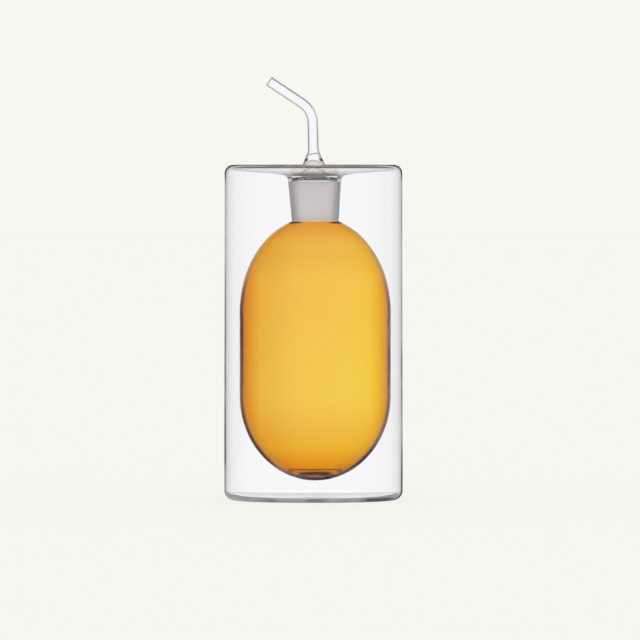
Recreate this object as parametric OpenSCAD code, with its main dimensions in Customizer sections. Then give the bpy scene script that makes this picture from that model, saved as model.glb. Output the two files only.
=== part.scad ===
// Double-walled glass oil cruet with a lift-out pourer.
// Lamp-worked borosilicate glass: a clear jacket, an amber flask hung inside it from a ground
// socket, and a hollow ground stopper drawn out into a bent spout.
// Millimetres. The origin is the centre of the foot, +Z is up and the spout points to -X.

/* [Jacket] */
// Outer diameter of the clear jacket
body_d = 75; // [68:0.5:90]
// Height of the rim above the table
rim_h = 140.5; // [132:0.5:160]
// Wall of the jacket's side and top
jacket_t = 1.1; // [0.9:0.1:1.8]
// Thickness of the foot
foot_t = 2; // [1.6:0.1:3]
// Radius of the outside corner between foot and side
heel_r = 4; // [3:0.5:6]
// Radius of the outside corner between side and top
rim_r = 3.5; // [2.8:0.1:5]
// Angle at which the top runs down from the rim to the neck
dish_angle = 9; // [6:0.5:12]

/* [Flask] */
// Gap between the flask's widest part and the jacket
side_gap = 4.7; // [3:0.1:7]
// Gap between the flask's lowest point and the foot
floor_gap = 6.1; // [4:0.1:10]
// Wall of the amber flask
flask_t = 1.3; // [1:0.1:1.8]
// Extra glass that gathered at the bottom of the flask
flask_base_extra = 0.9; // [0:0.1:2]
// Height of the flask's domed bottom
bottom_dome_h = 35.4; // [28:0.1:40]
// Height that the flask's shoulder would have without its neck opening
shoulder_dome_h = 40; // [32:0.1:44]

/* [Ground joint] */
// Bore of the socket at its mouth
mouth_d = 20.2; // [18:0.1:22]
// Slope of the socket's wall from the upright
taper = 5; // [3:0.5:6]
// Wall of the socket, measured level
socket_t = 1.55; // [1.3:0.05:2]
// Length of the socket from its mouth to the flask
socket_l = 20.2; // [16:0.1:24]
// Radius of the fire-polished inside edge of the mouth
lip_r = 0.9; // [0.5:0.1:1.2]
// Width of the socket's collar, from its mouth out to the seam with the jacket
collar_w = 4; // [3:0.1:6]
// Radius of the fillet under the collar
collar_fillet_r = 2.2; // [1:0.1:3]
// Gap all round between the stopper's cone and the socket
joint_gap = 0.05; // [0.03:0.01:0.1]

/* [Stopper] */
// Wall of the hollow stopper
stopper_t = 1.3; // [1:0.1:1.5]
// Distance from the mouth down to the stopper's shoulder
shoulder_drop = 0.5; // [0:0.1:1]
// Distance from the socket's lower end up to the stopper's
tip_lift = 0.6; // [0.3:0.1:3]
// Radius of the corner between cone and shoulder
shoulder_r = 1.8; // [1.6:0.1:2.2]
// Rise of the shoulder from its corner to the foot of the flare
shoulder_rise = 1.9; // [1.4:0.1:3]
// Diameter at the foot of the flare
flare_d = 11.4; // [10:0.1:13]
// Height of the flare up to the spout's own radius
flare_h = 8; // [6:0.1:10]
// Radius of the fillet at the foot of the flare
flare_foot_r = 2; // [1.5:0.1:3]
// Radius that blends the flare into the spout
flare_top_r = 6; // [4:0.5:7]
// Distance from the top of the flare down to the seam where the spout is sealed on
seam_drop = 0.9; // [0.5:0.1:2]
// Diameter of the air hole in the flare
vent_d = 1.2; // [0.8:0.1:1.6]
// Distance from the seam down to the air hole
vent_drop = 1.8; // [1.5:0.1:3]

/* [Spout] */
// Outer diameter of the spout
tube_d = 4.4; // [3.6:0.1:5.4]
// Wall of the spout
tube_t = 0.6; // [0.5:0.05:1.2]
// Upright length of the spout, from the top of the flare to the bend
riser_l = 11.8; // [8:0.1:20]
// Radius of the bend along the middle of the tube
bend_r = 10.2; // [8:0.1:16]
// Angle that the bend turns through
bend_angle = 55; // [30:1:75]
// Straight length from the bend to the tip
tip_l = 16.9; // [8:0.1:24]

/* [Hidden] */
$fn = 96;
cut = 1;
band_proud = 0.02;
band_half = 0.1;

body_r = body_d / 2;
flask_r = body_r - jacket_t - side_gap;
mouth_r = mouth_d / 2;
tube_r = tube_d / 2;
bore_r = tube_r - tube_t;
flare_r = flare_d / 2;

// Height of the dished top, or of a surface at a depth below it, at a distance from the axis
function dish_z(r, depth = 0) =
    rim_h - rim_r * (1 - cos(dish_angle)) - depth / cos(dish_angle)
    - (body_r - rim_r * (1 + sin(dish_angle)) - r) * tan(dish_angle);

// Radius of the ground bore and of the socket's outside at a height
mouth_z = dish_z(mouth_r + socket_t);
neck_z = mouth_z - socket_l;
collar_r = mouth_r + socket_t + collar_w;
function socket_bore(z) = mouth_r - (mouth_z - z) * tan(taper);
function socket_outside(z) = socket_bore(z) + socket_t;
function stopper_cone(z) = socket_bore(z) - joint_gap;

// Height at which the underside of the dished top meets the socket's outside
under_z = mouth_z - jacket_t / cos(dish_angle) / (1 - tan(taper) * tan(dish_angle));

// Height of an ellipse at a distance from its middle
function ellipse_z(r, half_w, half_h) = half_h * sqrt(1 - pow(r / half_w, 2));

flask_low_z = foot_t + floor_gap;
bottom_z = flask_low_z + bottom_dome_h;
shoulder_z = neck_z - ellipse_z(socket_outside(neck_z), flask_r, shoulder_dome_h);
flask_bore = socket_bore(neck_z);

cone_low_z = neck_z + tip_lift;
corner_z = mouth_z - shoulder_drop;
flare_low_z = corner_z + shoulder_rise;
flare_high_z = flare_low_z + flare_h;
flare_slope = atan((flare_r - tube_r) / flare_h);
seam_z = flare_high_z - seam_drop;
bend_z = flare_high_z + riser_l;

clear_glass = [0.88, 0.92, 0.94, 0.35];
ground_glass = [0.82, 0.81, 0.81, 0.8];
amber_glass = [0.93, 0.62, 0.16, 0.6];

// A corner [x, y, radius] of an outline: where its arc meets the sides and where its centre is
function unit(v) = v / norm(v);
function at(corners, i) = corners[(i + len(corners)) % len(corners)];
function place(corner) = [corner[0], corner[1]];
function towards(corners, i, step) = unit(place(at(corners, i + step)) - place(at(corners, i)));
function half_angle(corners, i) = acos(towards(corners, i, -1) * towards(corners, i, 1)) / 2;
function arc_end(corners, i, step) =
    place(corners[i]) + towards(corners, i, step) * corners[i][2] / tan(half_angle(corners, i));
function arc_centre(corners, i) =
    place(corners[i])
    + unit(towards(corners, i, -1) + towards(corners, i, 1)) * corners[i][2] / sin(half_angle(corners, i));
function turns_left(corners, i) = cross(-towards(corners, i, -1), towards(corners, i, 1)) > 0;

// Disc that rounds a corner, kept to the corner's own triangle
module corner_disc(corners, i) {
    intersection() {
        translate(arc_centre(corners, i)) circle(corners[i][2]);
        polygon([arc_end(corners, i, -1), place(corners[i]), arc_end(corners, i, 1)]);
    }
}

// Outline through corners given anticlockwise, with a true arc at each corner that has a radius
module outline(corners) {
    last = len(corners) - 1;
    difference() {
        union() {
            polygon([for (i = [0 : last]) for (step = [-1, 1])
                if (corners[i][2] > 0 || step > 0) arc_end(corners, i, step)]);
            for (i = [0 : last])
                if (corners[i][2] > 0 && turns_left(corners, i)) corner_disc(corners, i);
        }
        for (i = [0 : last])
            if (corners[i][2] > 0 && !turns_left(corners, i)) corner_disc(corners, i);
    }
}

// Everything inside one surface of the jacket, the outside one or the one a wall further in
module jacket_outline(inset, low_z) {
    side = body_r - inset;
    outline([
        [0, low_z, 0],
        [side, low_z, heel_r - inset],
        [side, dish_z(side, inset), rim_r - inset],
        [0, dish_z(0, inset), 0]
    ]);
}

// Clear jacket: foot, side and dished top, open only where the socket's collar is sealed in
module outer_shell() {
    color(clear_glass)
    rotate_extrude()
    difference() {
        jacket_outline(0, 0);
        jacket_outline(jacket_t, foot_t);
        translate([0, neck_z]) square([collar_r, rim_h]);
    }
}

// Clear neck with a ground tapered bore, a fire-polished mouth and a collar that carries on the top
module neck_socket() {
    color(ground_glass)
    rotate_extrude()
    outline([
        [socket_bore(neck_z), neck_z, 0],
        [socket_outside(neck_z), neck_z, 0],
        [socket_outside(under_z), under_z, collar_fillet_r],
        [collar_r, dish_z(collar_r, jacket_t), 0],
        [collar_r, dish_z(collar_r), 0],
        [socket_outside(mouth_z), mouth_z, 0],
        [socket_bore(mouth_z), mouth_z, lip_r]
    ]);
}

// Everything inside one surface of the flask: a dome, a straight side and a shoulder
module flask_outline(inset, low_inset) {
    side = flask_r - inset;
    intersection() {
        union() {
            translate([0, bottom_z]) scale([1, (bottom_dome_h - low_inset) / side]) circle(side);
            translate([0, bottom_z]) square([side, shoulder_z - bottom_z]);
            translate([0, shoulder_z]) scale([1, (shoulder_dome_h - inset) / side]) circle(side);
        }
        square([body_r, neck_z]);
    }
}

// Amber flask, sealed to the lower end of the socket and touching nothing else
module inner_flask() {
    color(amber_glass)
    rotate_extrude()
    difference() {
        flask_outline(0, 0);
        flask_outline(flask_t, flask_t + flask_base_extra);
        translate([0, shoulder_z]) square([flask_bore, neck_z]);
    }
}

// Everything inside one surface of the pourer's upright part, from its open end to the bend
module pourer_outline(inset, tube, low_z) {
    outline([
        [0, low_z, 0],
        [stopper_cone(low_z) - inset, low_z, 0],
        [stopper_cone(corner_z) - inset, corner_z - inset / 2, shoulder_r - inset],
        [flare_r - inset, flare_low_z - inset, flare_foot_r + inset],
        [tube, flare_high_z, flare_top_r + inset],
        [tube, bend_z, 0],
        [0, bend_z, 0]
    ]);
}

// Air hole square to the side of the flare, on the side away from the spout
module vent() {
    translate([tube_r + (seam_drop + vent_drop) * tan(flare_slope), 0, seam_z - vent_drop])
    rotate([0, 90 - flare_slope, 0])
    cylinder(h = 4 * stopper_t, d = vent_d, center = true);
}

// Hollow stopper: a ground cone open below, a clear shoulder and a flare up to the spout
module stopper() {
    color(ground_glass)
    difference() {
        rotate_extrude()
        intersection() {
            difference() {
                pourer_outline(0, tube_r, cone_low_z);
                pourer_outline(stopper_t, bore_r, cone_low_z - cut);
            }
            square([body_r, seam_z]);
        }
        vent();
    }
}

// Everything inside one surface of the spout, from the seam up, round the bend and to the tip.
// The glass is a hair thicker in a short band where the flame left the bend.
module spout_path(inset, r, over) {
    rotate_extrude()
    difference() {
        pourer_outline(inset, r, cone_low_z);
        square([body_r, seam_z - over]);
    }
    translate([-bend_r, 0, bend_z]) {
        rotate([90, 0, 0]) rotate_extrude(angle = bend_angle) translate([bend_r, 0]) circle(r);
        rotate([0, -bend_angle, 0]) translate([bend_r, 0, 0]) {
            sphere(r + band_proud);
            translate([0, 0, band_half]) cylinder(h = tip_l - band_half + over, r = r);
        }
    }
}

// Bent spout tube, sealed to the top of the flare and cut square at its tip
module spout_tube() {
    color(clear_glass)
    difference() {
        spout_path(0, tube_r, 0);
        spout_path(stopper_t, bore_r, cut);
    }
}

outer_shell();
neck_socket();
inner_flask();
stopper();
spout_tube();
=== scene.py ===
"""Looks of the double-walled glass oil cruet: a clear jacket with an amber flask hung inside it,
and a lift-out glass pourer with a ground cone and a bent spout. Metres, in the frame of the CAD part."""
import math
from collections import namedtuple

import bmesh
import bpy
from mathutils import Matrix, Vector


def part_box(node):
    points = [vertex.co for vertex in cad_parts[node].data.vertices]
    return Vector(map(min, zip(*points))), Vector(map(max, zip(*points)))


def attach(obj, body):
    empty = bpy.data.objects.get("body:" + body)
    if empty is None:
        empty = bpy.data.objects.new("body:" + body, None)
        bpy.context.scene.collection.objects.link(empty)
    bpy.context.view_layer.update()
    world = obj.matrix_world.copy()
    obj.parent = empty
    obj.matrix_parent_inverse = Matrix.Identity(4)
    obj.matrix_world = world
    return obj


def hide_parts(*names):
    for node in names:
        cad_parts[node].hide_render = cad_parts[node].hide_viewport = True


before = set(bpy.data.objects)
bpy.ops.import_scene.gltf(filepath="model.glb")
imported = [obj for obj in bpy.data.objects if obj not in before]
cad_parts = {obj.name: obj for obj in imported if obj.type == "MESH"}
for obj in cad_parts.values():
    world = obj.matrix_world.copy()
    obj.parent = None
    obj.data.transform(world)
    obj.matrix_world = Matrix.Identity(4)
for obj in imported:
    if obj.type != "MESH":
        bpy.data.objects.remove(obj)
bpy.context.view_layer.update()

MM = 0.001

# Heights and radii that the frame gives
shell_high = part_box("outer_shell")[1]
socket_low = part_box("neck_socket")[0]
flask_low, flask_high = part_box("inner_flask")
stopper_low, stopper_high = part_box("stopper")
BODY_R = shell_high.x
RIM_Z = shell_high.z
NECK_Z = socket_low.z
FLASK_R = flask_high.x
FLASK_LOW = flask_low.z
CONE_LOW = stopper_low.z
SEAM_Z = stopper_high.z

# Jacket: walls and rounded edges. RIM_REACH is how far in from the side the outer finish ends
JACKET_T = 1.1 * MM
FOOT_T = 1.6 * MM
FOOT_FILLET = 2.6 * MM
HEEL_R = 4.0 * MM
RIM_R = 3.5 * MM
RIM_REACH = 1.2 * RIM_R
DISH_ANGLE = math.radians(9)

# Socket: mouth, tapered bore and outside, which is a little slimmer under the top and at its waist
MOUTH_R = 10.1 * MM
LIP_R = 0.9 * MM
LIP_FILLET = 2.5 * MM
TAPER = math.radians(5)
GROUND_HIGH = 133.7 * MM
SOCKET_T = 1.55 * MM
COLLAR_SLIM = 0.3 * MM
WAIST_SLIM = 0.5 * MM
WAIST_DROP = 3.0 * MM
NECK_FILLET = 2.2 * MM

# Flask
FLASK_T = 1.3 * MM
FLASK_BASE_EXTRA = 0.9 * MM
BOTTOM_DOME = 35.4 * MM
SHOULDER_DOME = 40.0 * MM
SEAL_GAP = 0.01 * MM

# Stopper: ground cone, rounded shoulder and flare
JOINT_GAP = 0.05 * MM
STOPPER_T = 1.3 * MM
SHOULDER_DROP = 1.1 * MM
SHOULDER_R = 1.8 * MM
SHOULDER_RISE = 2.5 * MM
SHOULDER_T = 1.7 * MM
FLARE_R = 5.7 * MM
FLARE_H = 8.0 * MM
FLARE_T = 0.8 * MM
FLARE_FOOT_R = 2.0 * MM
FLARE_TOP_R = 6.0 * MM

# Spout, and the air hole in the flare: its place, and the middle and length of what cuts it
TUBE_R = 2.2 * MM
BORE_R = 1.6 * MM
RISER_L = 11.8 * MM
BEND_R = 10.2 * MM
BEND_ANGLE = math.radians(55)
TIP_L = 16.6 * MM
VENT_R = 0.6 * MM
VENT_DROP = 1.8 * MM
VENT_X = 4.0 * MM
VENT_L = 6.0 * MM

# How the hand-made glass departs from its true form. The jacket is slimmer, and more so between the
# DRAWN heights. The flask and the neck hang to the right, which fades out between the SWAY radii of the
# top. The spout leans to the left.
JACKET_SHRINK = 0.1 * MM
JACKET_TAPER = 0.15 * MM
DRAWN_LOW, DRAWN_HIGH = 30 * MM, 120 * MM
FLASK_SWAY = 0.75 * MM
MOUTH_SWAY = 0.4 * MM
SWAY_FULL_R, SWAY_NONE_R = 14 * MM, 32 * MM
SWAY_LOW = NECK_Z - 1 * MM
SPOUT_LEAN = math.radians(1.4)

# Fineness of the meshes
ARC_STEP = math.radians(6)
SHARP_ANGLE = math.radians(35)
VESSEL_STEP = 3 * MM
POURER_STEP = 0.3 * MM
BORE_STEP = 1 * MM
VESSEL_SEGMENTS = 256
POURER_SEGMENTS = 128
VENT_SEGMENTS = 24
BOTTOM_STEPS, SIDE_STEPS, SHOULDER_STEPS = 44, 12, 40
BEND_STEPS, TIP_STEPS = 27, 14

# Finishes, by the number of a piece's material: outside, inside and ground
OUTER, INNER, GROUND = 0, 1, 2

# Ring of a mesh: its middle, its tilt, its radius, and the finish of the faces after it
Ring = namedtuple("Ring", "x z tilt radius finish")


def share(value, low, high):
    """How far a value is from low to high, as a number from 0 to 1."""
    return min(1.0, max(0.0, (value - low) / (high - low)))


def socket_bore(z):
    """Radius of the socket's tapered bore at a height."""
    return MOUTH_R - (MOUTH_Z - z) * math.tan(TAPER)


def neck_sway(z):
    """How far the neck hangs to the right at a height."""
    return MOUTH_SWAY + (FLASK_SWAY - MOUTH_SWAY) * (MOUTH_Z - z) / (MOUTH_Z - NECK_Z)


def dish_z(r, depth=0.0):
    """Height of the dished top at a distance from the axis, or of a surface at a depth below it."""
    flat_r = BODY_R - RIM_R * (1 + math.sin(DISH_ANGLE))
    crest = RIM_Z - RIM_R * (1 - math.cos(DISH_ANGLE)) - depth / math.cos(DISH_ANGLE)
    return crest - (flat_r - r) * math.tan(DISH_ANGLE)


MOUTH_Z = dish_z(MOUTH_R + SOCKET_T)


def rounded(corners, spacing):
    """Points along the straight runs between corners (x, z, radius), with an arc at each corner."""
    points = []
    last = len(corners) - 1
    for i, (x, z, radius) in enumerate(corners):
        here = Vector((x, z))
        if radius == 0 or i in (0, last):
            stretch = [here]
        else:
            back = (Vector(corners[i - 1][:2]) - here).normalized()
            ahead = (Vector(corners[i + 1][:2]) - here).normalized()
            half = back.angle(ahead) / 2
            centre = here + (back + ahead).normalized() * radius / math.sin(half)
            start = here + back * radius / math.tan(half) - centre
            turn = math.pi - 2 * half
            if ahead.x * back.y - ahead.y * back.x < 0:
                turn = -turn
            steps = max(3, math.ceil(abs(turn) / ARC_STEP))
            stretch = []
            for k in range(steps + 1):
                angle = turn * k / steps
                c, s = math.cos(angle), math.sin(angle)
                stretch.append(centre + Vector((start.x * c - start.y * s, start.x * s + start.y * c)))
        if points:
            run = stretch[0] - points[-1]
            pieces = max(1, round(run.length / spacing))
            points += [points[-1] + run * k / pieces for k in range(1, pieces)]
        points += stretch
    return points


def new_object(name, mesh):
    """Object in the scene that takes over a bmesh."""
    data = bpy.data.meshes.new(name)
    mesh.to_mesh(data)
    mesh.free()
    piece = bpy.data.objects.new(name, data)
    bpy.context.scene.collection.objects.link(piece)
    return piece


def skin(name, rings, segments, closed=False):
    """Piece with a mesh through rings round a path in the XZ plane. A ring without a radius is a point,
    and the faces from a ring to the next have its finish."""
    mesh = bmesh.new()
    rows = []
    for ring in rings:
        if ring.radius == 0:
            rows.append([mesh.verts.new((ring.x, 0, ring.z))])
            continue
        row = []
        for k in range(segments):
            angle = 2 * math.pi * k / segments
            across = ring.radius * math.cos(angle)
            row.append(mesh.verts.new((
                ring.x + across * math.cos(ring.tilt),
                ring.radius * math.sin(angle),
                ring.z + across * math.sin(ring.tilt))))
        rows.append(row)
    pairs = list(zip(rows, rows[1:]))
    if closed:
        pairs.append((rows[-1], rows[0]))
    for (low, high), ring in zip(pairs, rings):
        for k in range(segments):
            j = (k + 1) % segments
            if len(low) == 1:
                corners = (low[0], high[j], high[k])
            elif len(high) == 1:
                corners = (low[k], low[j], high[0])
            else:
                corners = (low[k], low[j], high[j], high[k])
            mesh.faces.new(corners).material_index = ring.finish
    bmesh.ops.recalc_face_normals(mesh, faces=mesh.faces)
    piece = new_object(name, mesh)
    piece.data.shade_smooth()
    piece.data.set_sharp_from_angle(angle=SHARP_ANGLE)
    return piece


def upright(outline, finish):
    """Rings round the upright axis through the points (r, z) of an outline."""
    return [Ring(0, z, 0, r, finish) for r, z in outline]


def drawn(ring):
    """Ring of the jacket as it is in the hand-made glass."""
    x, radius = ring.x, ring.radius
    if ring.z > SWAY_LOW:
        x += neck_sway(ring.z) * (1 - share(radius, SWAY_FULL_R, SWAY_NONE_R))
    if radius > SWAY_FULL_R:
        slimmer = JACKET_SHRINK + JACKET_TAPER * share(ring.z, DRAWN_LOW, DRAWN_HIGH)
        radius -= slimmer * radius / BODY_R
    return ring._replace(x=x, radius=radius)


def jacket():
    """Clear jacket fused with the socket: foot, side, dished top, mouth and ground bore in one glass."""
    mouth_out = MOUTH_R + SOCKET_T
    neck_out = socket_bore(NECK_Z) + SOCKET_T
    collar_r = mouth_out - COLLAR_SLIM
    side_in = BODY_R - JACKET_T
    outside = rounded([
        (0, 0, 0),
        (BODY_R, 0, HEEL_R),
        (BODY_R, dish_z(BODY_R), RIM_R),
        (mouth_out, MOUTH_Z, LIP_FILLET),
        (MOUTH_R, MOUTH_Z, LIP_R),
        (socket_bore(GROUND_HIGH), GROUND_HIGH, 0),
    ], VESSEL_STEP)
    ground = rounded([
        (socket_bore(GROUND_HIGH), GROUND_HIGH, 0),
        (socket_bore(NECK_Z), NECK_Z, 0),
        (neck_out, NECK_Z, 0),
    ], VESSEL_STEP)
    inside = rounded([
        (mouth_out - WAIST_SLIM, MOUTH_Z - WAIST_DROP, 0),
        (collar_r, dish_z(collar_r, JACKET_T), NECK_FILLET),
        (side_in, dish_z(side_in, JACKET_T), RIM_R - JACKET_T),
        (side_in, FOOT_T, FOOT_FILLET),
        (0, FOOT_T, 0),
    ], VESSEL_STEP)
    rings = []
    for r, z in outside[:-1]:
        is_top = r < BODY_R - RIM_REACH and z > MOUTH_Z - LIP_R
        rings.append(Ring(0, z, 0, r, INNER if is_top else OUTER))
    rings += upright(ground[:-1], GROUND)
    rings += upright([(neck_out, NECK_Z)] + inside, INNER)
    return skin("jacket_glass", [drawn(ring) for ring in rings], VESSEL_SEGMENTS)


def flask():
    """Amber flask: domed bottom, straight side and long shoulder, sealed to the end of the socket."""
    neck_in = socket_bore(NECK_Z)
    neck_out = neck_in + SOCKET_T
    inner_r = FLASK_R - FLASK_T
    seal_z = NECK_Z - SEAL_GAP
    bottom_z = FLASK_LOW + BOTTOM_DOME
    shoulder_z = NECK_Z - SHOULDER_DOME * math.sqrt(1 - (neck_out / FLASK_R) ** 2)

    def surface(side, neck, low_h, high_h):
        """Points from the bottom up to the neck on one side of the wall."""
        points = []
        for k in range(BOTTOM_STEPS + 1):
            angle = math.pi / 2 * k / BOTTOM_STEPS
            points.append((side * math.sin(angle), bottom_z - low_h * math.cos(angle)))
        for k in range(1, SIDE_STEPS):
            points.append((side, bottom_z + (shoulder_z - bottom_z) * k / SIDE_STEPS))
        for k in range(SHOULDER_STEPS + 1):
            angle = math.acos(neck / side) * k / SHOULDER_STEPS
            points.append((side * math.cos(angle), shoulder_z + high_h * math.sin(angle)))
        return points

    outside = surface(FLASK_R, neck_out, BOTTOM_DOME, SHOULDER_DOME)
    outside[-1] = (neck_out, seal_z)
    inner_shoulder = (seal_z - shoulder_z) / math.sqrt(1 - (neck_in / inner_r) ** 2)
    inside = surface(inner_r, neck_in, BOTTOM_DOME - FLASK_T - FLASK_BASE_EXTRA, inner_shoulder)
    rings = upright(outside + inside[::-1], OUTER)
    return skin("flask_glass", [ring._replace(x=FLASK_SWAY) for ring in rings], VESSEL_SEGMENTS)


def leaned(ring):
    """Ring of the pourer: the spout leaned about its seam, the cone as far off the middle as the neck."""
    height = ring.z - SEAM_Z
    if height > 0:
        c, s = math.cos(SPOUT_LEAN), math.sin(SPOUT_LEAN)
        return ring._replace(
            x=ring.x * c - height * s, z=SEAM_Z + height * c + ring.x * s, tilt=ring.tilt + SPOUT_LEAN)
    return ring._replace(x=ring.x + neck_sway(ring.z) * share(-height, 0, SEAM_Z - MOUTH_Z))


def pourer():
    """Ground stopper drawn out into the bent spout, one hollow glass, and the middle of its cut end."""
    cone_low = socket_bore(CONE_LOW) - JOINT_GAP
    corner_z = MOUTH_Z - SHOULDER_DROP
    cone_high = socket_bore(corner_z) - JOINT_GAP
    ground_r = socket_bore(GROUND_HIGH) - JOINT_GAP
    flare_low = corner_z + SHOULDER_RISE
    flare_high = flare_low + FLARE_H
    bend_z = flare_high + RISER_L
    outer = rounded([
        (ground_r, GROUND_HIGH, 0),
        (cone_high, corner_z, SHOULDER_R),
        (FLARE_R, flare_low, FLARE_FOOT_R),
        (TUBE_R, flare_high, FLARE_TOP_R),
        (TUBE_R, bend_z, 0),
    ], POURER_STEP)
    inner = rounded([
        (cone_low - STOPPER_T, CONE_LOW, 0),
        (cone_high - STOPPER_T, corner_z - SHOULDER_T, SHOULDER_R - STOPPER_T),
        (FLARE_R - FLARE_T, flare_low - FLARE_T, FLARE_FOOT_R + FLARE_T),
        (BORE_R, flare_high, FLARE_TOP_R + STOPPER_T),
        (BORE_R, bend_z, 0),
    ], BORE_STEP)

    def bent(radius, finish):
        """Rings of one radius round the bend and along the tip."""
        rings = []
        for k in range(1, BEND_STEPS + 1):
            tilt = BEND_ANGLE * k / BEND_STEPS
            x = -BEND_R * (1 - math.cos(tilt))
            z = bend_z + BEND_R * math.sin(tilt)
            rings.append(Ring(x, z, tilt, radius, finish))
        start = rings[-1]
        for k in range(1, TIP_STEPS + 1):
            along = TIP_L * k / TIP_STEPS
            x = start.x - along * math.sin(BEND_ANGLE)
            z = start.z + along * math.cos(BEND_ANGLE)
            rings.append(start._replace(x=x, z=z))
        return rings

    spout = bent(TUBE_R, OUTER)
    rings = upright([(cone_low, CONE_LOW)], GROUND) + upright(outer, OUTER) + spout
    rings += bent(BORE_R, INNER)[::-1] + upright(inner[::-1], INNER)
    end = leaned(spout[-1])
    piece = skin("pourer_glass", [leaned(ring) for ring in rings], POURER_SEGMENTS, closed=True)
    return piece, Vector((end.x, 0, end.z))


def drill_vent(piece):
    """Air hole through the right side of the flare."""
    mesh = bmesh.new()
    turn = Matrix.Translation((VENT_X, 0, SEAM_Z - VENT_DROP)) @ Matrix.Rotation(math.pi / 2, 4, "Y")
    bmesh.ops.create_cone(
        mesh, cap_ends=True, segments=VENT_SEGMENTS, radius1=VENT_R, radius2=VENT_R, depth=VENT_L,
        matrix=turn)
    cut = new_object("vent_cut", mesh)
    hole = piece.modifiers.new("vent", "BOOLEAN")
    hole.operation = "DIFFERENCE"
    hole.solver = "EXACT"
    hole.object = cut
    ready = piece.evaluated_get(bpy.context.evaluated_depsgraph_get())
    drilled = bpy.data.meshes.new_from_object(ready)
    piece.modifiers.clear()
    piece.data = drilled
    bpy.data.objects.remove(cut)


# Looks. Four numbers are a ramp: start, end, and the level at each. Stops are a position and a level or
# colour. Glass: index of refraction, tint of what it mirrors, and the colour of its painted shade
CLEAR_IOR = 1.47
GROUND_IOR = 1.25
AMBER_IOR = 1.12
MIRROR_TINT = (0.1, 0.1, 0.1)
WHITE = (1, 1, 1)
CLEAR_SHADE_COLOUR = (0.03, 0.03, 0.035)

# Roughness from the smoothest to the roughest spots, and a grain's scale, strength and height
CLEAR_ROUGHNESS = (0.0, 0.01)
AMBER_ROUGHNESS = (0.0, 0.02)
GROUND_ROUGHNESS = (0.42, 0.5)
GRAIN_LOW, GRAIN_HIGH = 0.35, 0.65
JACKET_GRAIN = (50, 0.4, 0.2 * MM)
SPOUT_GRAIN = (150, 0.4, 0.1 * MM)
AMBER_GRAIN = (90, 0.5, 0.2 * MM)
GROUND_GRAIN = (2500, 0.5, 0.02 * MM)

# Painted shade where the glass is seen edge on: its share, by how far the surface turns away
CLEAR_EDGE_SHADE = ((0.71, 0.0), (0.78, 0.4), (0.85, 0.9), (1.0, 1.0))
SPOUT_EDGE_SHADE = ((0.2, 0.0), (0.4, 0.5), (0.6, 0.7), (1.0, 0.7))
AMBER_EDGE_SHADE = (
    (0.42, 0.0), (0.6, 0.16), (0.66, 0.33), (0.73, 0.95), (0.8, 1.0), (0.88, 0.8), (1.0, 0.4))

# How strong that painted shade is at a height, as a share of the height just below
SHADE_HEIGHT = 0.2
CLEAR_SHADE_BY_HEIGHT = ((0.0, 1.0), (0.66, 0.7), (0.69, 1.0))
SPOUT_SHADE_BY_HEIGHT = ((0.77, 1.0), (0.83, 0.5))
AMBER_SHADE_BY_HEIGHT = ((0.07, 1.0), (0.4, 0.9), (0.5, 0.35), (0.56, 0.0))

# How uneven that painted shade is, by a noise of this scale, and the most painted shade there is
UNEVEN_SCALE = 45
UNEVEN = (0.3, 0.7, 0.8, 1.15)
MOST_SHADE = 0.97

# How the painted shade dims what the glass mirrors, and how much of it keeps light from crossing the glass
MIRROR_FADE = (0, 0.25, 0.5, 0)
SHADE_BLOCKING = (0.3, 1, 0, 0.85)

# Dark marks of painted shade: height over a base, half width and share of painted shade. BAND_CORE is the
# share of the half width that is fully dark
BAND_CORE = 0.3
# Painted shade in a band and a line at the bottom of the flask
BOTTOM_SHADE_BAND = (0.75 * MM, 0.75 * MM, 1)
BOTTOM_SHADE_LINE = (2.5 * MM, 0.7 * MM, 0.65)
# Painted shade at both sides of the flask's seal to the neck
SEAL_SHADE = (-0.4 * MM, 0.45 * MM, 0.85)
SEAL_SHADE_SIDES = (4 * MM, 8 * MM, 0, 1)
# The seam is real; the dark line at it is painted shade
SEAM_SHADE_LINE = (-0.4 * MM, 0.35 * MM, 0.45)
SEAM_SLANT = 0.16
# Painted shade at both sides of the flare, where it is seen edge on
FLARE_SIDE_SHADE = (-2.9 * MM, 1.1 * MM, 0.95)
FLARE_SIDE_SHADE_FACING = (0.15, 0.4, 0, 1)
# Painted shade in two rings round the top of the cone
UPPER_SHADE_RING = (2.5 * MM, 0.35 * MM, 0.85)
LOWER_SHADE_RING = (0.9 * MM, 0.3 * MM, 0.75)
# Painted shade at the cut end of the tube
CUT_SHADE_START, CUT_SHADE_FULL, CUT_SHADE_LEVEL = -0.7 * MM, -0.2 * MM, 0.5

# Painted contact shadow along the heel: by distance from the origin, by height, from front to back, in
# patches
HEEL_SHADOW_OUT = (33.8 * MM, 34.6 * MM, 0, 1)
HEEL_SHADOW_UP = (1.2 * MM, 2.8 * MM, 0.95, 0)
HEEL_SHADOW_BACK = (-20 * MM, 10 * MM, 1, 0)
HEEL_SHADOW_PATCHES = (0.4, 0.6, 0.7, 1)

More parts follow.
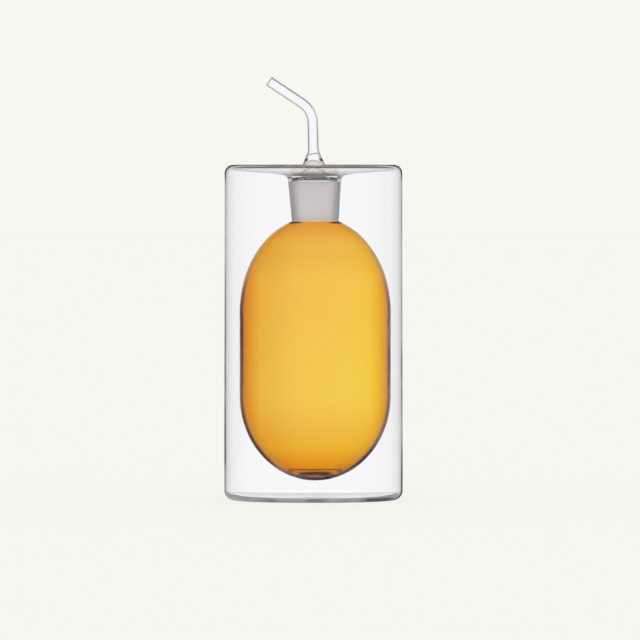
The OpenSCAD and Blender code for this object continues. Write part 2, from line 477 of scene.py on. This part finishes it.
# Amber glass: tints of painted shade from left to right and from the bottom to the neck, and the colour of
# its painted shade from the bottom to the neck; and the colour and density of its depth
AMBER_SIDE_SHADE = (
    (0.0, (0.92, 0.57, 0.55)), (0.07, (0.94, 0.74, 0.72)), (0.15, (0.96, 0.84, 0.82)),
    (0.5, (1.0, 0.9, 0.77)), (0.88, (1.0, 0.94, 0.86)), (1.0, (0.98, 0.8, 0.7)))
AMBER_HEIGHT_SHADE = (
    (0.0, (0.9, 0.74, 1.0)), (0.14, (0.98, 0.92, 1.0)), (0.35, (1.0, 1.0, 1.0)),
    (0.75, (1.0, 0.96, 1.0)), (0.9, (0.97, 0.88, 0.85)), (1.0, (0.93, 0.74, 0.6)))
AMBER_SHADE_COLOUR = (
    (0.0, (0.03, 0.01, 0.01)), (0.014, (0.05, 0.02, 0.02)), (0.03, (0.22, 0.08, 0.03)),
    (0.08, (0.06, 0.012, 0.005)), (0.25, (0.22, 0.035, 0.0)))
AMBER_COLOUR = (0.99, 0.91, 0.3)
AMBER_DENSITY = 1050
FLASK_MIDDLE = (0, 0, 61 * MM)

# Painted shade of the ground glass: darker and a little pink seen straight on, by how far the surface
# turns away
GROUND_FACING_SHADE = ((0.0, (0.87, 0.84, 0.84)), (0.1, (0.89, 0.86, 0.86)), (0.5, (1.0, 0.99, 0.99)))


class Graph:
    """Node tree of a material or a world, emptied, with short ways to add to it.
    An input is a number, three numbers or another node's output."""

    def __init__(self, owner):
        owner.use_nodes = True
        self.nodes = owner.node_tree.nodes
        self.links = owner.node_tree.links
        self.nodes.clear()

    def put(self, socket, value):
        """Link an output to an input, or set the input to a constant."""
        if isinstance(value, bpy.types.NodeSocket):
            self.links.new(value, socket)
        elif socket.type == "RGBA":
            socket.default_value = (*value, 1)
        else:
            socket.default_value = value

    def add(self, kind, inputs=None, **settings):
        """New node, with its settings and with its inputs by name or number."""
        node = self.nodes.new("ShaderNode" + kind)
        for name, value in settings.items():
            setattr(node, name, value)
        for key, value in (inputs or {}).items():
            self.put(node.inputs[key], value)
        return node

    def calc(self, operation, first, *others):
        """Math on one value, or from left to right over two or more."""
        if not others:
            return self.add("Math", {0: first}, operation=operation).outputs[0]
        for other in others:
            first = self.add("Math", {0: first, 1: other}, operation=operation).outputs[0]
        return first

    def vector(self, operation, *vectors):
        """Outputs of a vector math node."""
        return self.add("VectorMath", dict(enumerate(vectors)), operation=operation).outputs

    def ramp(self, value, start, end, at_start, at_end, kind="SMOOTHSTEP"):
        """Change from one level to another while a value goes from start to end."""
        inputs = {"Value": value, "From Min": start, "From Max": end, "To Min": at_start, "To Max": at_end}
        return self.add("MapRange", inputs, interpolation_type=kind).outputs["Result"]

    def band(self, value, base, shade_band):
        """Painted shade in a band (height over a base, half width, level), which falls to 0 at its sides.
        """
        height, half, level = shade_band
        away = self.calc("ABSOLUTE", self.calc("SUBTRACT", value, base + height))
        return self.ramp(away, BAND_CORE * half, half, level, 0)

    def gradient(self, value, stops):
        """Smooth run through stops (position, colour or level) as a value goes from 0 to 1."""
        node = self.add("ValToRGB", {"Fac": value})
        node.color_ramp.interpolation = "EASE"
        elements = node.color_ramp.elements
        while len(elements) < len(stops):
            elements.new(1)
        for element, (position, colour) in zip(elements, stops):
            element.position = position
            rgb = colour if isinstance(colour, tuple) else (colour,) * 3
            element.color = (*rgb, 1)
        return node.outputs["Color"]

    def mix(self, factor, a, b, **settings):
        """Blend of two numbers, or of two colours with data_type RGBA."""
        return self.add("Mix", {"Factor": factor, "A": a, "B": b}, **settings).outputs["Result"]

    def split(self, vector):
        """X, Y and Z of a vector."""
        return self.add("SeparateXYZ", {0: vector}).outputs

    def place(self):
        """Place on the object, in metres."""
        return self.add("TexCoord").outputs["Object"]

    def noise(self, scale):
        """Noise from 0 to 1 that is fixed to the object."""
        return self.add("TexNoise", {"Vector": self.place(), "Scale": scale}).outputs["Fac"]

    def facing(self):
        """How far the surface turns away: 0 seen straight on, 1 seen edge on."""
        return self.add("LayerWeight", {"Blend": 0.5}).outputs["Facing"]


class Glass(Graph):
    """Glass material with a fine grain in its roughness and its surface."""

    def __init__(self, name, roughness, grain, ior=CLEAR_IOR):
        self.material = bpy.data.materials.new(name)
        super().__init__(self.material)
        scale, strength, height = grain
        noise = self.noise(scale)
        bump = self.add("Bump", {"Strength": strength, "Distance": height, "Height": noise})
        self.shader = self.add("BsdfPrincipled", {
            "Base Color": WHITE,
            "IOR": ior,
            "Roughness": self.ramp(noise, GRAIN_LOW, GRAIN_HIGH, *roughness),
            "Specular Tint": MIRROR_TINT,
            "Transmission Weight": 1,
            "Normal": bump.outputs["Normal"],
        })
        self.output = self.add("OutputMaterial", {"Surface": self.shader.outputs["BSDF"]})

    def outward(self, centre):
        """1 where the surface looks away from a centre, 0 where it looks towards it, from either side."""
        geometry = self.add("NewGeometry").outputs
        arm = self.vector("SUBTRACT", self.place(), centre)["Vector"]
        along = self.vector("DOT_PRODUCT", arm, geometry["True Normal"])["Value"]
        away = self.calc("GREATER_THAN", along, 0)
        return self.calc("ABSOLUTE", self.calc("SUBTRACT", away, geometry["Backfacing"]))

    def painted_edge_shade(self, facing, noise, edge, along):
        """Share of painted shade where the glass is seen edge on, by height and a little uneven."""
        height = self.calc("DIVIDE", self.split(self.place())["Z"], SHADE_HEIGHT)
        strength = self.ramp(noise, *UNEVEN)
        painted_shade = self.calc("MULTIPLY", self.gradient(facing, edge), self.gradient(height, along), strength)
        return self.calc("MINIMUM", painted_shade, MOST_SHADE)

    def paint_shade(self, painted_shade, blocked, shade_tint, dark):
        """Paint shade into the glass: its dark colour, and less light passing and mirrored, where the
        painted shade is.
        """
        inputs = self.shader.inputs
        self.put(inputs["Base Color"], self.mix(painted_shade, shade_tint, dark, data_type="RGBA"))
        self.put(inputs["Transmission Weight"], self.calc("SUBTRACT", 1, blocked))
        self.put(inputs["Specular IOR Level"], self.ramp(blocked, *MIRROR_FADE, "LINEAR"))


def clear_material():
    """Outside of the jacket: painted shade edge on, and a painted contact shadow along the front of its
    heel in patches.
    """
    glass = Glass("clear_glass", CLEAR_ROUGHNESS, JACKET_GRAIN)
    noise = glass.noise(UNEVEN_SCALE)
    edge = glass.painted_edge_shade(glass.facing(), noise, CLEAR_EDGE_SHADE, CLEAR_SHADE_BY_HEIGHT)
    place = glass.place()
    _, y, z = glass.split(place)
    distance = glass.vector("LENGTH", place)["Value"]
    # Painted contact shadow along the front of the heel, in patches
    heel = glass.calc(
        "MULTIPLY", glass.ramp(distance, *HEEL_SHADOW_OUT), glass.ramp(z, *HEEL_SHADOW_UP),
        glass.ramp(y, *HEEL_SHADOW_BACK), glass.ramp(noise, *HEEL_SHADOW_PATCHES))
    painted_shade = glass.calc("MAXIMUM", edge, heel)
    glass.paint_shade(painted_shade, painted_shade, WHITE, CLEAR_SHADE_COLOUR)
    return glass.material


def inner_clear_material():
    """Inside and top of the clear glass."""
    return Glass("inner_clear_glass", CLEAR_ROUGHNESS, JACKET_GRAIN).material


def ground_material():
    """Frosted ground glass with painted shade: darker seen straight on, paler where it is seen edge on."""
    glass = Glass("ground_glass", GROUND_ROUGHNESS, GROUND_GRAIN, GROUND_IOR)
    glass.put(glass.shader.inputs["Base Color"], glass.gradient(glass.facing(), GROUND_FACING_SHADE))
    return glass.material


def amber_material():
    """Amber glass with painted shade, browner to the left, at the shoulder and at the bottom, and dark
    where its outer side is seen edge on, in a band and a line at its bottom, and at both sides of its seal
    to the neck."""
    glass = Glass("amber_glass", AMBER_ROUGHNESS, AMBER_GRAIN, AMBER_IOR)
    x, _, z = glass.split(glass.place())
    across = glass.ramp(x, -FLASK_R, FLASK_R, 0, 1, "LINEAR")
    along = glass.ramp(z, FLASK_LOW, NECK_Z, 0, 1, "LINEAR")
    # Painted shade: browner and darker to the left, at the bottom and at the shoulder
    shade_tint = glass.mix(
        1, glass.gradient(across, AMBER_SIDE_SHADE), glass.gradient(along, AMBER_HEIGHT_SHADE),
        data_type="RGBA", blend_type="MULTIPLY")
    facing = glass.calc("MULTIPLY", glass.facing(), glass.outward(FLASK_MIDDLE))
    edge = glass.painted_edge_shade(facing, glass.noise(UNEVEN_SCALE), AMBER_EDGE_SHADE, AMBER_SHADE_BY_HEIGHT)
    # Painted shade in a band and a line at the bottom, and at both sides of the seal
    bottom = glass.band(z, FLASK_LOW, BOTTOM_SHADE_BAND)
    line = glass.band(z, FLASK_LOW, BOTTOM_SHADE_LINE)
    off_axis = glass.calc("ABSOLUTE", glass.calc("SUBTRACT", x, FLASK_SWAY))
    seal = glass.calc("MULTIPLY", glass.band(z, NECK_Z, SEAL_SHADE), glass.ramp(off_axis, *SEAL_SHADE_SIDES))
    painted_shade = glass.calc("MAXIMUM", edge, bottom, line, seal)
    glass.paint_shade(painted_shade, glass.ramp(painted_shade, *SHADE_BLOCKING), shade_tint, glass.gradient(along, AMBER_SHADE_COLOUR))
    volume = glass.add("VolumeAbsorption", {"Color": AMBER_COLOUR, "Density": AMBER_DENSITY})
    glass.put(glass.output.inputs["Volume"], volume.outputs["Volume"])
    return glass.material


def spout_material(tip):
    """Outside of the pourer, with painted shade: dark edge on, at the real seam, at both sides of the
    flare, in two rings round the top of the cone, and at the cut end of the tube."""
    glass = Glass("spout_glass", CLEAR_ROUGHNESS, SPOUT_GRAIN)
    facing = glass.facing()
    edge = glass.painted_edge_shade(facing, glass.noise(UNEVEN_SCALE), SPOUT_EDGE_SHADE, SPOUT_SHADE_BY_HEIGHT)
    place = glass.place()
    x, _, z = glass.split(place)
    slanted = glass.calc("SUBTRACT", z, glass.calc("MULTIPLY", x, SEAM_SLANT))
    # Painted shade in a line at the seam
    seam = glass.band(slanted, SEAM_Z, SEAM_SHADE_LINE)
    # Painted shade at both sides of the flare, where it is seen edge on
    flare_side_shade = glass.calc(
        "MULTIPLY", glass.band(z, SEAM_Z, FLARE_SIDE_SHADE), glass.ramp(facing, *FLARE_SIDE_SHADE_FACING))
    tilt = BEND_ANGLE + SPOUT_LEAN
    ahead = Vector((-math.sin(tilt), 0, math.cos(tilt)))
    end = ahead.dot(tip)
    along = glass.vector("DOT_PRODUCT", place, tuple(ahead))["Value"]
    # Painted shade at the cut end of the tube
    cut = glass.ramp(along, end + CUT_SHADE_START, end + CUT_SHADE_FULL, 0, CUT_SHADE_LEVEL)
    # Painted shade in two rings round the top of the cone
    rings = [glass.band(z, GROUND_HIGH, ring) for ring in (UPPER_SHADE_RING, LOWER_SHADE_RING)]
    painted_shade = glass.calc("MAXIMUM", edge, seam, flare_side_shade, cut, *rings)
    glass.paint_shade(painted_shade, painted_shade, WHITE, CLEAR_SHADE_COLOUR)
    return glass.material


def paint(piece, *materials):
    """Materials of a piece, in the order of its faces' numbers."""
    for material in materials:
        piece.data.materials.append(material)


# Studio: cream to the camera, and a white to the glass that is dimmer overhead and where it is mirrored
CREAM = (0.930, 0.930, 0.863)
STUDIO = (0.94, 0.94, 0.955)
MIRRORED = 0.68
OVERHEAD = 0.15
OVERHEAD_START, OVERHEAD_FULL = 0.25, 0.5

# What the glass mirrors of the studio's front and sides is cut, up to this Y of the direction, where
# light has crossed fewer faces of glass than OUTER_DEPTH
SIDE_CUT = (0.26, 0.46, 0.75, 0)
OUTER_DEPTH = 2.5

# Floor: share of its brightness that takes shadow, and its levels under the cruet and away from it
FLOOR_R = 9
FLOOR_SEGMENTS = 128
FLOOR_GAP = 0.05 * MM
FLOOR_SHADE = 0.12
UNDER_R, OPEN_R = 37 * MM, 60 * MM
UNDER_LEVEL = 1.08
UNDER_MIRRORED = 0.8
FLOOR_CUT = (0.5, 1.5, 0, 1)

# Camera: about level with the rim and far away, as the photograph was taken
EYE = (0, -4.0, 0.160)
AIM = (0.00273, 0, 0.07544)
LENS = 536.5
SENSOR = 36
VIEW_END = 100

# Times that light may cross or leave glass before it is lost
LIGHT_BOUNCES = 40


def studio_level(graph, path, direction, through, mirrored, cut_share=1):
    """Brightness that the glass gets from the studio in a direction: one level for what is seen
    through it, and another for what it mirrors."""
    _, ahead, _ = graph.split(graph.vector("NORMALIZE", direction)["Vector"])
    is_outer = graph.calc("LESS_THAN", path["Transmission Depth"], OUTER_DEPTH)
    cut = graph.calc("MULTIPLY", graph.ramp(ahead, *SIDE_CUT), cut_share, is_outer)
    mirrored = graph.calc("MULTIPLY", mirrored, graph.calc("SUBTRACT", 1, cut))
    return graph.mix(graph.calc("GREATER_THAN", path["Glossy Depth"], 0.5), through, mirrored)


def backdrop_world():
    """World: cream to the camera, plain white to the floor's light, and a studio to the glass."""
    world = bpy.data.worlds.new("studio")
    bpy.context.scene.world = world
    graph = Graph(world)
    path = graph.add("LightPath").outputs
    direction = graph.add("TexCoord").outputs["Generated"]
    up = graph.split(direction)["Z"]
    level = studio_level(
        graph, path, direction,
        through=graph.ramp(up, OVERHEAD_START, OVERHEAD_FULL, 1, OVERHEAD),
        mirrored=graph.ramp(up, OVERHEAD_START, OVERHEAD_FULL, MIRRORED, OVERHEAD))
    level = graph.mix(path["Is Diffuse Ray"], level, 1)
    studio = graph.add("Background", {"Color": STUDIO, "Strength": level})
    cream = graph.add("Background", {"Color": CREAM})
    chosen = graph.add("MixShader", {0: path["Is Camera Ray"], 1: studio.outputs[0], 2: cream.outputs[0]})
    graph.add("OutputWorld", {"Surface": chosen.outputs[0]})
    world.cycles.sampling_method = "NONE"


def floor():
    """Pale floor, a little under the foot."""
    bpy.ops.mesh.primitive_circle_add(
        vertices=FLOOR_SEGMENTS, radius=FLOOR_R, fill_type="NGON", location=(0, 0, -FLOOR_GAP))
    piece = bpy.context.object
    piece.name = "floor"
    material = bpy.data.materials.new("floor_paper")
    paint(piece, material)
    graph = Graph(material)
    path = graph.add("LightPath").outputs
    place = graph.place()
    distance = graph.vector("LENGTH", place)["Value"]
    level = studio_level(
        graph, path, place,
        through=graph.ramp(distance, UNDER_R, OPEN_R, UNDER_LEVEL, 1),
        mirrored=graph.ramp(distance, UNDER_R, OPEN_R, UNDER_MIRRORED, MIRRORED),
        cut_share=graph.ramp(distance, *FLOOR_CUT))
    studio = graph.add("Emission", {"Color": STUDIO, "Strength": level})
    paper = graph.add("BsdfPrincipled", {
        "Base Color": [FLOOR_SHADE * c for c in CREAM],
        "Specular IOR Level": 0,
        "Emission Color": CREAM,
        "Emission Strength": 1 - FLOOR_SHADE,
    })
    chosen = graph.add("MixShader", {0: path["Is Camera Ray"], 1: studio.outputs[0], 2: paper.outputs[0]})
    graph.add("OutputMaterial", {"Surface": chosen.outputs[0]})


def camera():
    """Camera of the scene."""
    data = bpy.data.cameras.new("camera")
    data.lens = LENS
    data.sensor_width = SENSOR
    data.clip_end = VIEW_END
    eye = bpy.data.objects.new("camera", data)
    bpy.context.scene.collection.objects.link(eye)
    eye.location = EYE
    eye.rotation_euler = (Vector(AIM) - eye.location).to_track_quat("-Z", "Y").to_euler()
    bpy.context.scene.camera = eye


camera()
backdrop_world()
floor()
scene = bpy.context.scene
scene.view_settings.view_transform = "Standard"
scene.cycles.max_bounces = LIGHT_BOUNCES
scene.cycles.transmission_bounces = LIGHT_BOUNCES
scene.cycles.glossy_bounces = LIGHT_BOUNCES

inner_clear = inner_clear_material()
ground = ground_material()

jacket_glass = jacket()
paint(jacket_glass, clear_material(), inner_clear, ground)
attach(jacket_glass, "vessel")
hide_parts("outer_shell", "neck_socket")

flask_glass = flask()
paint(flask_glass, amber_material())
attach(flask_glass, "vessel")
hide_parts("inner_flask")

pourer_glass, tip = pourer()
drill_vent(pourer_glass)
paint(pourer_glass, spout_material(tip), inner_clear, ground)
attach(pourer_glass, "pourer")
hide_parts("stopper", "spout_tube")
